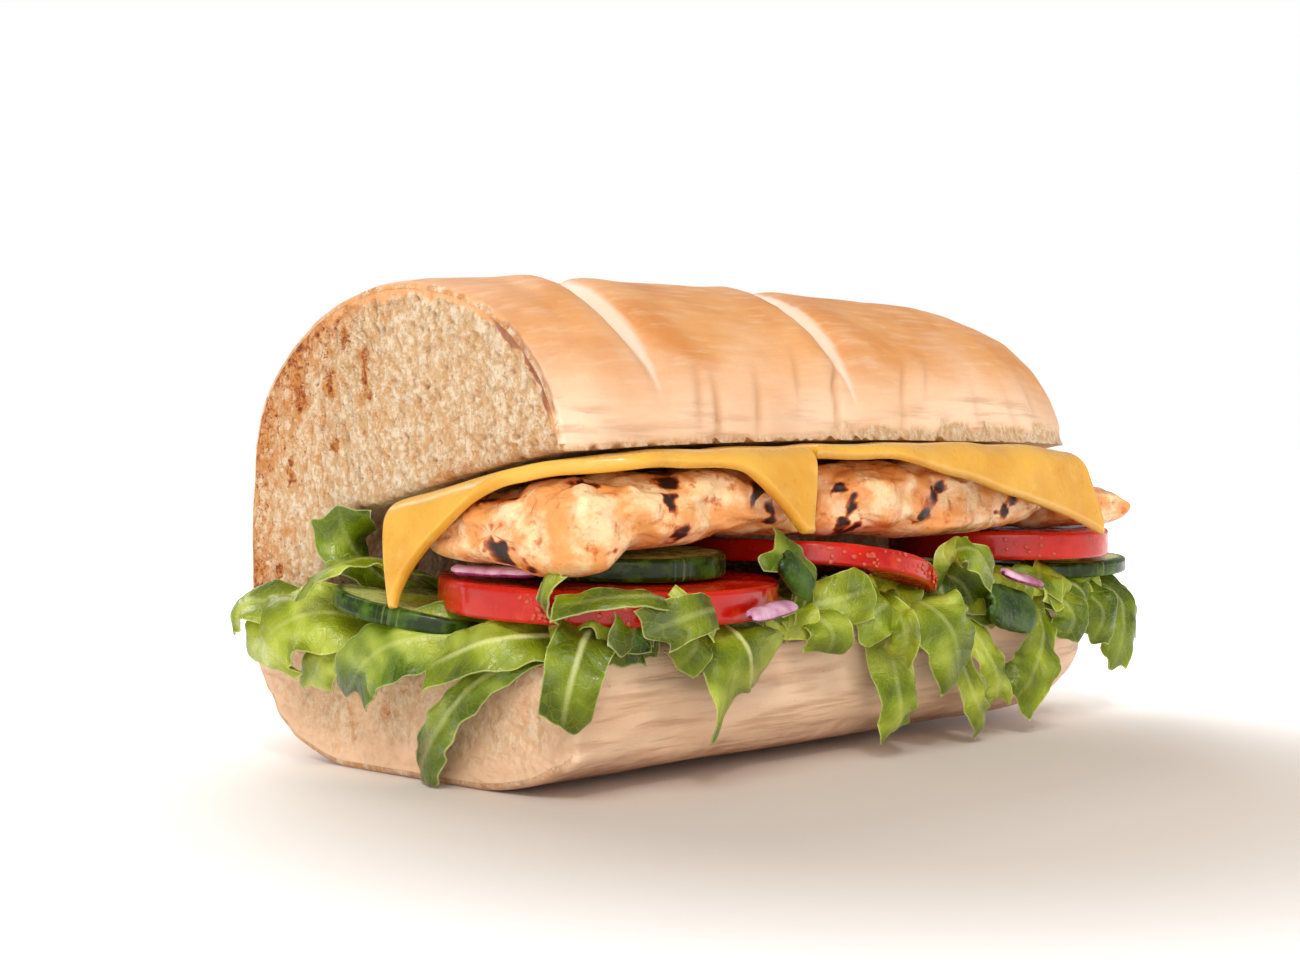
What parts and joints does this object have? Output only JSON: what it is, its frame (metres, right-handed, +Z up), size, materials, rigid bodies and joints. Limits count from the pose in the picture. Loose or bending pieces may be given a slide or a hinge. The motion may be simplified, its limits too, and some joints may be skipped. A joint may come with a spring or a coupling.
{
  "type": "submarine sandwich",
  "caption": "Submarine sandwich half in a soft roll, cut across at one end, filled with grilled chicken, cheese, tomato, cucumber, onion, green pepper and lettuce.",
  "frame": {"origin": "middle of the bounding box's underside, on the table", "axes": "+X along the roll from its cut end to its round heel, -Y out of the slit with the fillings, +Z up"},
  "size_m": [0.1674, 0.0918, 0.0779],
  "materials": {
    "bread": "soft matt crust, open crumb at the cut",
    "tomato": "wet gloss",
    "cucumber": "waxy dark rind round pale wet flesh",
    "chicken": "moist, grilled, with dark char spots",
    "cheese": "smooth satin sheen",
    "onion": "moist, purple skin on pale flesh",
    "pepper": "waxy gloss",
    "lettuce": "crisp thin leaf with a soft sheen"
  },
  "bodies": {
    "root": {"roll": "bread", "tomato_1": "tomato", "tomato_2": "tomato", "tomato_3": "tomato", "cucumber_1": "cucumber", "cucumber_2": "cucumber", "cucumber_3": "cucumber", "chicken_left": "chicken", "chicken_middle": "chicken", "chicken_right": "chicken", "cheese_left": "cheese", "cheese_right": "cheese", "onion_1": "onion", "onion_2": "onion", "onion_3": "onion", "pepper_1": "pepper", "pepper_2": "pepper", "lettuce": "lettuce"}
  },
  "joints": []
}
